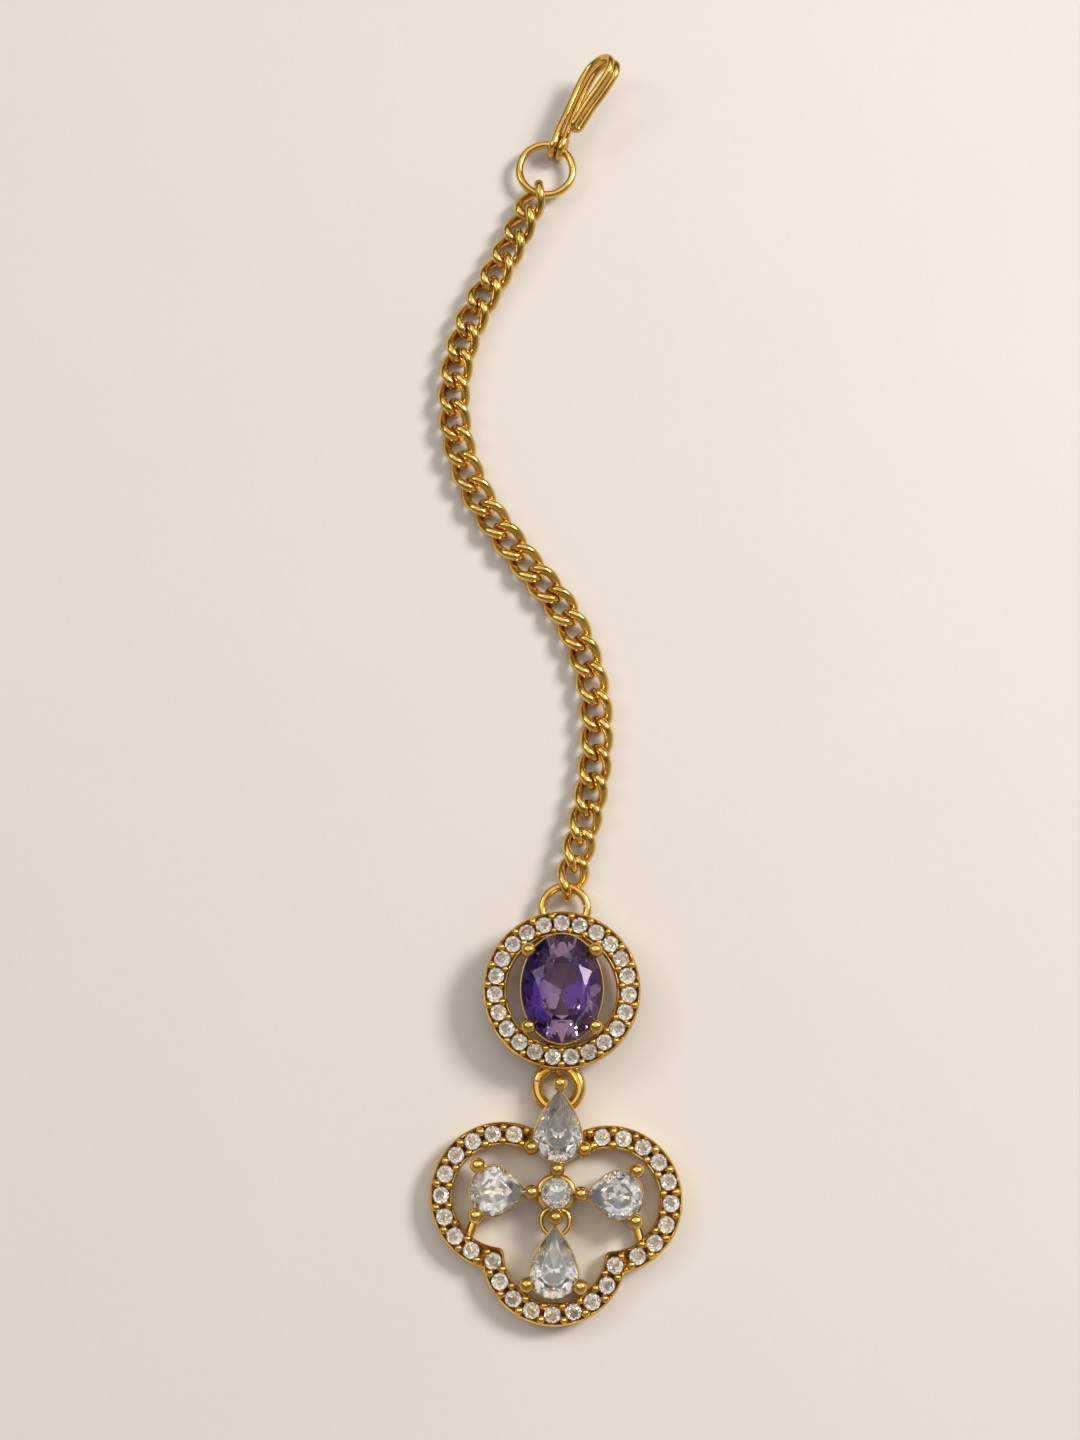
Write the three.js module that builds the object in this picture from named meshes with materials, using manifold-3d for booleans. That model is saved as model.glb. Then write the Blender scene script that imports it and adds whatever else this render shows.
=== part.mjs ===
// A maang tikka lying flat: hair hook, curb chain, round halo with an oval stone, and a
// clover drop with four pear stones round a small round one. Millimetres, +Z up, table at z = 0.
// Everything is laid out from the halo's centre, then the whole group is moved so that the
// origin is the bottom centre.

import * as THREE from "three";
import { mergeVertices } from "three/addons/utils/BufferGeometryUtils.js";
import { ConvexGeometry } from "three/addons/geometries/ConvexGeometry.js";
import Module from "manifold-3d";

const wasm = await Module();
wasm.setup();

// Clearances
const seatGap = 0.08;
const ringGap = 0.1;
const eyeletSlack = 0.15;
const splitGap = 0.12;

// Curb chain, from the halo to the hook ring
const linkWire = 0.6;
const linkLengthRatio = 2.42;
const linkWidthRatio = 1.65;
const linkNestRatio = 1.24;
const linkTwist = -50;
const linkSquareness = 0.85;
const linkSteps = 14;
const wireSides = 6;
const endRolls = [36, 27, 18, 9];
const chainStartHeading = 77.5;
// Each row: number of links, heading in degrees that the row turns to
const chainRows = [
  [3, 75.5],
  [3, 87.5],
  [3, 107.5],
  [3, 130],
  [3, 124.5],
  [3, 104],
  [3, 80.5],
  [3, 61],
  [4, 67.5]
];

// Rings
const jumpRingRadius = 1.67;
const jumpRingWire = 0.65;
const jumpRingShift = 0.25;
const jumpRingInset = 1.25;
const jumpRingSplit = 8;
const connectorRadius = 1.57;
const connectorWire = 0.85;
const connectorShift = -0.25;
const connectorInset = 0.42;
const connectorSplit = 165;
const hookRingRadius = 2.12;
const hookRingWire = 0.6;
const ringSteps = 24;
const ringSides = 8;

// Hair hook of doubled wire
const hookWire = 0.6;
const strandGap = 0.1;
const hookEyeSlack = 0.15;
const hookHeading = 68.5;
const hookAttachHeading = 63;
const hookLean = 47;
const hookTwistLength = 3;
const hookSteps = 20;
const hookEyeStep = 30;
const hookTurnAngles = [30, 60, 90, 120, 150];
// Shank, bend and return leg: distance along the hook, distance across it
const hookProfile = [
  [1.2, 0],
  [3.2, 0],
  [5.1, 0.1],
  [6.6, 0.5],
  [7.35, 1.6],
  [7.1, 2.7],
  [6.1, 3.1],
  [4.6, 2.65],
  [3.0, 1.95],
  [1.5, 1.45]
];

// Pave bands
const rimWall = 0.19;
const channelDepth = 0.15;
const paveRise = 0.3;
const paveSunk = 0.05;
const paveTableShare = 0.6;
const paveSides = 8;
const eyeletWire = 0.35;
const eyeletSteps = 20;
const eyeletSides = 8;

// Halo
const haloOuterRadius = 5.75;
const haloBand = 1.73;
const haloHeight = 1.6;
const haloStones = 23;
const haloStoneSize = 1.12;
const ovalWidth = 5.9;
const ovalLength = 7.9;
const ovalGirdle = 4.0;
const ovalCrown = 0.85;
const ovalDepth = 2.7;
const ovalCupHeight = 1.8;
const ovalProngX = 2.42;
const ovalProngY = 2.75;
const bridgeWidth = 1.6;
const baseRailWidth = 0.6;
const baseRailHeight = 0.6;
const baseRailHalfX = 2.4;
const baseRailHalfY = 2.85;
const ovalSteps = 24;

// Clover drop, measured from its round centre stone
const cloverTurn = -2;
const lobeRadius = 4.46;
const lobeBand = 1.65;
const cloverHeight = 1.6;
const sideLobeX = 3.85;
const sideLobeY = -0.3;
const bottomLobeY = -4.05;
const freeEndAngle = 113;
const freeEndWallAngle = 3;
const lobeSteps = 16;
const lobeStones = 9;
const lobeStoneSize = 1.2;
const sideFirstAngle = 98.5;
const sideStoneStep = 20;
const bottomFirstAngle = -11;
const bottomStoneStep = 19.75;
const cloverEyeletY = 6.07;
const cloverShift = 0.05;
const dropGirdle = 2.5;
const dropCrown = 0.6;
const dropDepth = 1.6;
const cupWall = 0.2;
const cupBottom = 1.2;
const roundSize = 2.25;
const longPearLength = 5.1;
const longPearWidth = 3.45;
const shortPearLength = 4.1;
const shortPearWidth = 3.55;
const topPearTip = 7.34;
const bottomPearTip = 2.28;
const sidePearTip = 2.12;
const centreRingRadius = 1.25;
const centreRingWidth = 0.5;
const centreRingHeight = 0.6;
const tipRingRadius = 1.03;
const tipRingWidth = 0.35;
const tipRingHeight = 0.4;
const tipRingDrop = 0.25;
const smallRingSteps = 20;
const strutWidth = 0.7;
const strutAngle = -52;
const strutSink = 0.25;
const cupLip = 0.1;
const longProngAcross = 0.555;
const longProngAlong = 0.82;
const shortProngAlong = 0.88;
const tipProngOut = 0.46;
const innerProngOut = 0.15;
const postFoot = 0.2;

// Cut of the stones, as shares of the outline, crown or pavilion
const girdleEdge = 0.06;
const girdleSteps = 16;
const tableShare = 0.6;
const starShare = 0.84;
const starHeightShare = 0.52;
const pavilionShare = 0.5;
const pavilionDepthShare = 0.62;
const pearRoundShare = 0.48;
const pearRoundSteps = 6;
const pearSidePower = 1.7;
const pearTipGrowth = 2.6;

// Ball prongs
const ballRadius = 0.56;
const postRadius = 0.5;
const prongSides = 10;
const ballOverGirdle = 0.35;
const neckShare = 0.45;
// Upper half of the ball: distance out and height over its middle, as shares of its radius
const ballProfile = [
  [1, 0],
  [0.81, 0.59],
  [0.4, 0.92],
  [0, 1]
];

const gold = { color: 0xc9962f, metalness: 1, roughness: 0.28 };
const violetGlass = { color: 0x5b3d93, metalness: 0, roughness: 0.05 };
const clearGlass = { color: 0xe6edf0, metalness: 0, roughness: 0.05 };

const radians = THREE.MathUtils.degToRad;
const linkHalfLength = linkWire * linkLengthRatio;
const linkHalfWidth = linkWire * linkWidthRatio;
const linkPitch = 2 * linkHalfLength - linkWire * linkNestRatio;

// A line through listed points; sweeps put one ring of vertices on each point.
class WireLine extends THREE.Curve {
  constructor(points) {
    super();
    this.points = points;
  }
  getPoint(t) {
    const count = this.points.length;
    const place = ((t % 1) + 1) % 1 * count;
    const index = Math.floor(place) % count;
    const next = (index + 1) % count;
    return this.points[index].clone().lerp(this.points[next], place - Math.floor(place));
  }
  getPointAt(t) {
    return this.getPoint(t);
  }
  getTangentAt(t) {
    return this.getTangent(t);
  }
}

function closedWire(points, wire) {
  return new THREE.TubeGeometry(new WireLine(points), points.length, wire / 2, wireSides, true);
}

// Turns a three.js geometry into a manifold solid, leaving out its zero-area triangles.
function toSolid(geometry) {
  const plain = geometry.clone();
  plain.deleteAttribute("normal");
  plain.deleteAttribute("uv");
  const merged = mergeVertices(plain, 1e-5);
  const corners = merged.index.array;
  const kept = [];
  for (let i = 0; i < corners.length; i += 3) {
    const [a, b, c] = [corners[i], corners[i + 1], corners[i + 2]];
    if (a !== b && b !== c && a !== c) {
      kept.push(a, b, c);
    }
  }
  return new wasm.Manifold(new wasm.Mesh({
    numProp: 3,
    vertProperties: new Float32Array(merged.getAttribute("position").array),
    triVerts: new Uint32Array(kept)
  }));
}

function toGeometry(solid) {
  const mesh = solid.getMesh();
  const geometry = new THREE.BufferGeometry();
  geometry.setAttribute("position", new THREE.BufferAttribute(mesh.vertProperties, 3));
  geometry.setIndex(new THREE.BufferAttribute(mesh.triVerts, 1));
  return geometry;
}

function joined(geometries) {
  return geometries.map(toSolid).reduce((whole, solid) => whole.add(solid));
}

function addMesh(group, name, geometry, material, x, y, z, turn = 0) {
  const mesh = new THREE.Mesh(geometry, new THREE.MeshStandardMaterial(material));
  mesh.name = name;
  mesh.position.set(x, y, z);
  mesh.rotation.z = radians(turn);
  group.add(mesh);
}

function extruded(outline, bottom, top, hole) {
  const shape = new THREE.Shape(outline);
  if (hole) {
    shape.holes.push(new THREE.Path(hole));
  }
  const geometry = new THREE.ExtrudeGeometry(shape, { depth: top - bottom, bevelEnabled: false });
  return geometry.translate(0, 0, bottom);
}

function ellipse(halfX, halfY, count) {
  const points = [];
  for (let i = 0; i < count; i += 1) {
    const angle = (2 * Math.PI * i) / count;
    points.push(new THREE.Vector2(halfX * Math.cos(angle), halfY * Math.sin(angle)));
  }
  return points;
}

// Outline of a pear stone with its tip toward +Y and its middle at the origin.
function pear(width, length) {
  const roundCentre = -length / 2 + width * pearRoundShare;
  const tip = length / 2;
  const side = [0.25, 0.5, 0.75].map((part) => new THREE.Vector2(
    (width / 2) * (1 - part ** pearSidePower), roundCentre + part * (tip - roundCentre)));
  const points = [new THREE.Vector2(0, tip)];
  points.push(...side.map(({ x, y }) => new THREE.Vector2(-x, y)).reverse());
  for (let i = 0; i <= pearRoundSteps; i += 1) {
    const angle = Math.PI + (Math.PI * i) / pearRoundSteps;
    const across = (width / 2) * Math.cos(angle);
    points.push(new THREE.Vector2(across, roundCentre + width * pearRoundShare * Math.sin(angle)));
  }
  points.push(...side);
  return points;
}

// Cut stone with its girdle at z = 0: table, star and bezel facets, girdle, and a pavilion
// drawn to a culet. The seat for it is the same cut with every face moved out by grow.
function cutStone(outline, crown, depth, grow) {
  const points = [];
  const above = girdleEdge;
  const below = -girdleEdge;
  const ring = (scale, height, every, first) => {
    for (let i = first; i < outline.length; i += every) {
      points.push(new THREE.Vector3(outline[i].x * scale, outline[i].y * scale, height));
    }
  };
  ring(1, above, 1, 0);
  ring(1, below, 1, 0);
  ring(starShare, above + crown * starHeightShare + grow / 2, 2, 1);
  ring(tableShare, above + crown + grow, 2, 0);
  ring(pavilionShare, below - depth * pavilionDepthShare - grow, 2, 1);
  points.push(new THREE.Vector3(0, 0, below - depth - grow));
  return new ConvexGeometry(points);
}

function ballProng(x, y, bottom, girdle) {
  const ball = girdle + ballOverGirdle;
  const profile = [
    [0, bottom],
    [postRadius, bottom],
    [postRadius, ball - ballRadius * neckShare],
    ...ballProfile.map(([across, up]) => [ballRadius * across, ball + ballRadius * up])
  ];
  const points = profile.map(([across, up]) => new THREE.Vector2(across, up));
  return new THREE.LatheGeometry(points, prongSides).rotateX(Math.PI / 2).translate(x, y, 0);
}

function paveStone(x, y, size, floor) {
  const height = paveRise + paveSunk;
  const radius = size / 2;
  const stone = new THREE.CylinderGeometry(radius * paveTableShare, radius, height, paveSides);
  return stone.rotateX(Math.PI / 2).translate(x, y, floor - paveSunk + height / 2);
}

// Loop of wire standing in the plane across the piece, so a ring lying flat can pass through it.
function eyelet(x, y, level, ringWire) {
  const radius = ringWire / 2 + eyeletSlack + eyeletWire / 2;
  const loop = new THREE.TorusGeometry(radius, eyeletWire / 2, eyeletSides, eyeletSteps);
  return loop.rotateY(Math.PI / 2).translate(x, y, level);
}

function closedRing(radius, wire) {
  return new THREE.TorusGeometry(radius, wire / 2, ringSides, ringSteps);
}

// Open ring: its two ends meet at +X with a narrow gap.
function splitRing(radius, wire) {
  const cut = new THREE.BoxGeometry(wire * 2, splitGap, wire * 2).translate(radius, 0, 0);
  return toGeometry(toSolid(closedRing(radius, wire)).subtract(toSolid(cut)));
}

// Chain

function linkShape(roll) {
  const points = [];
  for (let i = 0; i < linkSteps; i += 1) {
    const angle = (2 * Math.PI * (i + 0.5)) / linkSteps;
    const cos = Math.cos(angle);
    const sin = Math.sin(angle);
    const along = linkHalfLength * Math.sign(cos) * Math.abs(cos) ** linkSquareness;
    const across = linkHalfWidth * Math.sign(sin) * Math.abs(sin) ** linkSquareness;
    const turn = radians(linkTwist) * (along / linkHalfLength) + radians(roll);
    points.push(new THREE.Vector3(along, across * Math.cos(turn), across * Math.sin(turn)));
  }
  return closedWire(points, linkWire);
}

// Height at which a link rests on the table.
function linkLevel(shape) {
  shape.computeBoundingBox();
  return -shape.boundingBox.min.z;
}

const endLevel = linkLevel(linkShape(endRolls[0]));
const connectorLevel = connectorWire / 2 + eyeletSlack + eyeletWire;
const hookEyeRadius = (hookRingWire + hookWire) / 2 + hookEyeSlack;
const hookRingLevel = Math.max(endLevel, hookEyeRadius + hookWire / 2);
const jumpRingTop = endLevel + jumpRingWire / 2;
const connectorTop = connectorLevel + connectorWire / 2;
const rimBottom = Math.max(jumpRingTop, connectorTop) + ringGap;

function ringReach(ringWire) {
  return linkHalfLength - (linkWire + ringWire) / 2 - ringGap;
}

// Lays the links and returns where the hook ring's centre comes.
function layChain(group) {
  const linkCount = chainRows.reduce((sum, [links]) => sum + links, 0);
  const shapes = new Map();
  const start = jumpRingRadius + ringReach(jumpRingWire);
  let heading = chainStartHeading;
  let x = start * Math.cos(radians(heading));
  let y = start * Math.sin(radians(heading));
  let number = 0;
  for (const [links, rowHeading] of chainRows) {
    const turn = (rowHeading - heading) / links;
    for (let i = 0; i < links; i += 1) {
      if (number > 0) {
        x += (linkPitch / 2) * Math.cos(radians(heading));
        y += (linkPitch / 2) * Math.sin(radians(heading));
        heading += turn;
        x += (linkPitch / 2) * Math.cos(radians(heading));
        y += (linkPitch / 2) * Math.sin(radians(heading));
      }
      const fromEnd = linkCount - 1 - number;
      const roll = (endRolls[number] ?? 0) - (endRolls[fromEnd] ?? 0);
      if (!shapes.has(roll)) {
        shapes.set(roll, linkShape(roll));
      }
      const shape = shapes.get(roll);
      number += 1;
      const name = `link_${String(number).padStart(2, "0")}`;
      addMesh(group, name, shape, gold, x, y, linkLevel(shape), heading);
    }
  }
  const reach = hookRingRadius + ringReach(hookRingWire);
  return new THREE.Vector2(
    x + reach * Math.cos(radians(heading)), y + reach * Math.sin(radians(heading)));
}

// Hair hook

// The hook runs along +X from the middle of the hook ring.
function hookGeometry() {
  const spine = [];
  for (let angle = 360; angle >= 90; angle -= hookEyeStep) {
    const along = hookEyeRadius * Math.cos(radians(angle));
    const across = hookEyeRadius * (Math.sin(radians(angle)) - 1);
    spine.push(new THREE.Vector2(along, across));
  }
  const eyePoints = spine.length;
  const profile = hookProfile.map(([along, across]) => new THREE.Vector2(along, across));
  const bend = new THREE.SplineCurve([spine[eyePoints - 1], ...profile]);
  spine.push(...bend.getSpacedPoints(hookSteps).slice(1));

  const forward = new THREE.Vector3(1, 0, 0);
  const right = new THREE.Vector3(0, -1, 0);
  const up = new THREE.Vector3(0, 0, 1);
  const attach = radians(hookAttachHeading - hookHeading);
  const eye = new THREE.Vector3(
    hookRingRadius * Math.cos(attach), hookRingRadius * Math.sin(attach), hookEyeRadius);
  const halfStrands = (hookWire + strandGap) / 2;
  let untwisted = true;
  let lean = 90;
  const frames = spine.map((point, index) => {
    const before = spine[Math.max(index - 1, 0)];
    const after = spine[Math.min(index + 1, spine.length - 1)];
    const travel = after.clone().sub(before).normalize();
    if (index >= eyePoints && untwisted) {
      const part = THREE.MathUtils.smoothstep(point.x, 0, hookTwistLength);
      lean = 90 + (hookLean - 90) * part;
      untwisted = point.x < hookTwistLength;
    }
    const across = right.clone().multiplyScalar(Math.cos(radians(lean)));
    across.addScaledVector(up, Math.sin(radians(lean)));
    const side = right.clone().multiplyScalar(Math.sin(radians(lean)));
    side.addScaledVector(up, -Math.cos(radians(lean)));
    const place = eye.clone().addScaledVector(forward, point.x).addScaledVector(across, point.y);
    const way = forward.clone().multiplyScalar(travel.x).addScaledVector(across, travel.y);
    return { place, side, way };
  });
  const turnBack = (frame, sign) => hookTurnAngles.map((angle) => frame.place.clone()
    .addScaledVector(frame.side, sign * halfStrands * Math.cos(radians(angle)))
    .addScaledVector(frame.way, sign * halfStrands * Math.sin(radians(angle))));
  const strand = (sign) => frames.map(({ place, side }) =>
    place.clone().addScaledVector(side, sign * halfStrands));
  const loop = [
    ...strand(1),
    ...turnBack(frames[frames.length - 1], 1),
    ...strand(-1).reverse(),
    ...turnBack(frames[0], -1)
  ];
  return closedWire(loop, hookWire);
}

// Halo

function haloSetting() {
  const inner = haloOuterRadius - haloBand;
  const top = rimBottom + haloHeight;
  const floor = top - channelDepth;
  const profile = [
    [inner, rimBottom],
    [haloOuterRadius, rimBottom],
    [haloOuterRadius, top],
    [haloOuterRadius - rimWall, top],
    [haloOuterRadius - rimWall, floor],
    [inner + rimWall, floor],
    [inner + rimWall, top],
    [inner, top],
    [inner, rimBottom]
  ].map(([across, up]) => new THREE.Vector2(across, up));
  const band = new THREE.LatheGeometry(profile, haloStones * 2).rotateX(Math.PI / 2);
  const solids = [band];
  const middle = inner + haloBand / 2;
  for (let i = 0; i < haloStones; i += 1) {
    const angle = Math.PI / 2 + (2 * Math.PI * i) / haloStones;
    const stone = paveStone(0, 0, haloStoneSize, floor).rotateZ(angle);
    solids.push(stone.translate(middle * Math.cos(angle), middle * Math.sin(angle), 0));
  }
  const cupTop = ovalGirdle + cupLip;
  const cupFloor = cupTop - ovalCupHeight;
  const cup = ellipse(ovalWidth / 2 + cupWall, ovalLength / 2 + cupWall, ovalSteps);
  solids.push(extruded(cup, cupFloor, cupTop));
  const bridge = new THREE.BoxGeometry(bridgeWidth, 2 * middle, floor - cupFloor);
  solids.push(bridge.translate(0, 0, (floor + cupFloor) / 2));
  const halfRail = baseRailWidth / 2;
  solids.push(extruded(
    ellipse(baseRailHalfX + halfRail, baseRailHalfY + halfRail, ovalSteps), 0, baseRailHeight,
    ellipse(baseRailHalfX - halfRail, baseRailHalfY - halfRail, ovalSteps)));
  const railShare = 1 / Math.hypot(ovalProngX / baseRailHalfX, ovalProngY / baseRailHalfY);
  const prongTop = ovalGirdle + ballOverGirdle;
  for (const [signX, signY] of [[1, 1], [-1, 1], [-1, -1], [1, -1]]) {
    const foot = { x: signX * ovalProngX * railShare, y: signY * ovalProngY * railShare };
    const leanX = (signX * ovalProngX - foot.x) / prongTop;
    const leanY = (signY * ovalProngY - foot.y) / prongTop;
    const lean = new THREE.Matrix4().makeShear(0, 0, 0, 0, leanX, leanY);
    const prong = ballProng(0, 0, 0, ovalGirdle).applyMatrix4(lean);
    solids.push(prong.translate(foot.x, foot.y, 0));
  }
  solids.push(eyelet(0, haloOuterRadius - jumpRingInset, endLevel, jumpRingWire));
  solids.push(eyelet(connectorShift, connectorInset - haloOuterRadius, connectorLevel, connectorWire));
  const seat = ovalStone(seatGap).translate(0, 0, ovalGirdle);
  return toGeometry(joined(solids).subtract(toSolid(seat)));
}

function ovalStone(grow) {
  const outline = ellipse(ovalWidth / 2 + grow, ovalLength / 2 + grow, girdleSteps);
  return cutStone(outline, ovalCrown, ovalDepth, grow);
}

// Clover

function arcPoints(centreX, centreY, radius, from, to, count) {
  const points = [];
  for (let i = 0; i <= count; i += 1) {
    const angle = radians(from + ((to - from) * i) / count);
    points.push(new THREE.Vector2(
      centreX + radius * Math.cos(angle), centreY + radius * Math.sin(angle)));
  }
  return points;
}

// One long edge of the band, from the right free end round the bottom lobe to the left free end.
function lobeEdge(radius, endAngle) {
  const toBottom = new THREE.Vector2(-sideLobeX, bottomLobeY - sideLobeY);
  const half = toBottom.length() / 2;
  const reach = Math.sqrt(radius ** 2 - half ** 2);
  const middle = new THREE.Vector2(sideLobeX / 2, (sideLobeY + bottomLobeY) / 2);
  const outward = new THREE.Vector2(-toBottom.y, toBottom.x).normalize();
  const notch = middle.addScaledVector(outward, reach);
  const degrees = THREE.MathUtils.radToDeg;
  const sideEnd = degrees(Math.atan2(notch.y - sideLobeY, notch.x - sideLobeX));
  const bottomStart = degrees(Math.atan2(notch.y - bottomLobeY, notch.x));
  const right = arcPoints(sideLobeX, sideLobeY, radius, endAngle, sideEnd, lobeSteps);
  const bottom = arcPoints(0, bottomLobeY, radius, bottomStart, -180 - bottomStart, lobeSteps);
  const left = right.map((point) => new THREE.Vector2(-point.x, point.y)).reverse();
  return [...right, ...bottom.slice(1, -1), ...left];
}

function lobeBandShape(width, endAngle) {
  const outer = lobeEdge(lobeRadius + width / 2, endAngle);
  const inner = lobeEdge(lobeRadius - width / 2, endAngle);
  return [...outer, ...inner.reverse()];
}

function lobeStonePlaces() {
  const places = [];
  for (let i = 0; i < lobeStones; i += 1) {
    const side = radians(sideFirstAngle - sideStoneStep * i);
    const bottom = radians(bottomFirstAngle - bottomStoneStep * i);
    const across = sideLobeX + lobeRadius * Math.cos(side);
    const up = sideLobeY + lobeRadius * Math.sin(side);
    places.push([across, up], [-across, up]);
    places.push([lobeRadius * Math.cos(bottom), bottomLobeY + lobeRadius * Math.sin(bottom)]);
  }
  return places;
}

// The round stone and the four pears: turn, middle, foot of the cup, and size of each.
const longMiddle = longPearLength / 2;
const shortMiddle = shortPearLength / 2;
const dropStones = [
  { name: "round_stone", turn: 0, x: 0, y: 0, bottom: cupBottom, width: roundSize, length: 0 },
  {
    name: "pear_top", turn: 0, x: 0, y: topPearTip - longMiddle, bottom: rimBottom,
    width: longPearWidth, length: longPearLength
  },
  {
    name: "pear_bottom", turn: 0, x: 0, y: -bottomPearTip - longMiddle, bottom: cupBottom,
    width: longPearWidth, length: longPearLength
  },
  {
    name: "pear_left", turn: -90, x: -sidePearTip - shortMiddle, y: 0, bottom: cupBottom,
    width: shortPearWidth, length: shortPearLength
  },
  {
    name: "pear_right", turn: 90, x: sidePearTip + shortMiddle, y: 0, bottom: cupBottom,
    width: shortPearWidth, length: shortPearLength
  }
];

function stoneOutline(stone, grow) {
  if (stone.length === 0) {
    return ellipse(stone.width / 2 + grow, stone.width / 2 + grow, girdleSteps);
  }
  return pear(stone.width + 2 * grow, stone.length + pearTipGrowth * grow);
}

function dropStone(stone, grow) {
  return cutStone(stoneOutline(stone, grow), dropCrown, dropDepth, grow);
}

function strut(fromX, fromY, toX, toY, bottom, top) {
  const length = Math.hypot(toX - fromX, toY - fromY);
  const bar = new THREE.BoxGeometry(length, strutWidth, top - bottom);
  bar.rotateZ(Math.atan2(toY - fromY, toX - fromX));
  return bar.translate((fromX + toX) / 2, (fromY + toY) / 2, (bottom + top) / 2);
}

function flatWasher(radius, width, bottom, top) {
  const outer = ellipse(radius + width / 2, radius + width / 2, smallRingSteps);
  const inner = ellipse(radius - width / 2, radius - width / 2, smallRingSteps);
  return extruded(outer, bottom, top, inner);
}

function cloverSetting() {
  const floor = cloverHeight - channelDepth;
  const channelShape = lobeBandShape(lobeBand - 2 * rimWall, freeEndAngle - freeEndWallAngle);
  const channel = extruded(channelShape, floor, cloverHeight + channelDepth);
  let body = toSolid(extruded(lobeBandShape(lobeBand, freeEndAngle), 0, cloverHeight));
  body = body.subtract(toSolid(channel));
  const solids = lobeStonePlaces().map(([x, y]) => paveStone(x, y, lobeStoneSize, floor));
  for (const stone of dropStones) {
    const cup = extruded(stoneOutline(stone, cupWall), stone.bottom, dropGirdle + cupLip);
    solids.push(cup.rotateZ(radians(stone.turn)).translate(stone.x, stone.y, 0));
  }
  const topInner = (roundSize / 2 + topPearTip - longPearLength) / 2;
  const sideInner = (roundSize / 2 + sidePearTip) / 2 + innerProngOut;
  const bottomInner = (roundSize / 2 + bottomPearTip) / 2;
  const longX = longPearWidth * longProngAcross;
  const topY = topPearTip - longPearLength * longProngAlong;
  const bottomY = -bottomPearTip - longPearLength * longProngAlong;
  const sideX = sidePearTip + shortPearLength * shortProngAlong;
  const sideY = shortPearWidth / 2;
  const prongs = [
    [0, topPearTip + tipProngOut, rimBottom],
    [-longX, topY, postFoot],
    [longX, topY, postFoot],
    [0, topInner, 0],
    [-sideInner, 0, 0],
    [sideInner, 0, 0],
    [0, -bottomInner, 0],
    [-sideX, sideY, cupBottom],
    [-sideX, -sideY, postFoot],
    [sideX, sideY, cupBottom],
    [sideX, -sideY, postFoot],
    [-longX, bottomY, postFoot],
    [longX, bottomY, postFoot]
  ];
  for (const [x, y, bottom] of prongs) {
    solids.push(ballProng(x, y, bottom, dropGirdle));
  }
  const strutTop = cupBottom - cupLip;
  const strutLow = strutTop - strutWidth;
  const strutReach = lobeRadius - lobeBand / 2 + strutSink;
  const strutX = strutReach * Math.cos(radians(strutAngle));
  const strutY = strutReach * Math.sin(radians(strutAngle));
  for (const sign of [-1, 1]) {
    const sideEndX = sign * (sideLobeX + strutX);
    solids.push(strut(sign * sideX, -sideY, sideEndX, sideLobeY + strutY, strutLow, strutTop));
    solids.push(strut(sign * longX, bottomY, sign * strutX, bottomLobeY + strutY, strutLow, strutTop));
  }
  solids.push(flatWasher(centreRingRadius, centreRingWidth, 0, centreRingHeight));
  const tipRing = flatWasher(tipRingRadius, tipRingWidth, cupBottom, cupBottom + tipRingHeight);
  solids.push(tipRing.translate(0, -bottomInner - tipRingDrop, 0));
  solids.push(eyelet(0, cloverEyeletY, connectorLevel, connectorWire));
  body = body.add(joined(solids));
  for (const stone of dropStones) {
    const seat = dropStone(stone, seatGap).rotateZ(radians(stone.turn));
    body = body.subtract(toSolid(seat.translate(stone.x, stone.y, dropGirdle)));
  }
  return toGeometry(body);
}

// Assembly: the halo at the origin, the chain group on its jump ring, the hook group on the
// chain's last ring, and the clover group hanging from the connector ring with its own turn.

const tikka = new THREE.Group();
tikka.name = "maang_tikka";
addMesh(tikka, "halo_setting", haloSetting(), gold, 0, 0, 0);
addMesh(tikka, "oval_stone", ovalStone(0), violetGlass, 0, 0, ovalGirdle);

const chain = new THREE.Group();
chain.position.set(jumpRingShift, haloOuterRadius - jumpRingInset + jumpRingRadius, 0);
const jumpRing = splitRing(jumpRingRadius, jumpRingWire);
addMesh(chain, "halo_jump_ring", jumpRing, gold, 0, 0, endLevel, jumpRingSplit);
const chainEnd = layChain(chain);
tikka.add(chain);

const hook = new THREE.Group();
hook.position.set(chainEnd.x, chainEnd.y, hookRingLevel);
hook.rotation.z = radians(hookHeading);
addMesh(hook, "hook_ring", closedRing(hookRingRadius, hookRingWire), gold, 0, 0, 0);
addMesh(hook, "hair_hook", hookGeometry(), gold, 0, 0, 0);
chain.add(hook);

const connector = new THREE.Group();
connector.position.set(connectorShift, connectorInset - haloOuterRadius - connectorRadius, 0);
const connectorRing = splitRing(connectorRadius, connectorWire);
addMesh(connector, "connector_ring", connectorRing, gold, 0, 0, connectorLevel, connectorSplit);
tikka.add(connector);

const clover = new THREE.Group();
clover.position.set(cloverShift, -connectorRadius, 0);
clover.rotation.z = radians(cloverTurn);
addMesh(clover, "clover_setting", cloverSetting(), gold, 0, -cloverEyeletY, 0);
for (const stone of dropStones) {
  const y = stone.y - cloverEyeletY;
  addMesh(clover, stone.name, dropStone(stone, 0), clearGlass, stone.x, y, dropGirdle, stone.turn);
}
connector.add(clover);

const whole = new THREE.Box3().setFromObject(tikka, true);
const middle = whole.getCenter(new THREE.Vector3());
tikka.position.set(-middle.x, -middle.y, -whole.min.z);

export default tikka;
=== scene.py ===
"""Maang tikka: the finely modelled visible pieces, laid over the solid parts of the jewel."""

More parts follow.
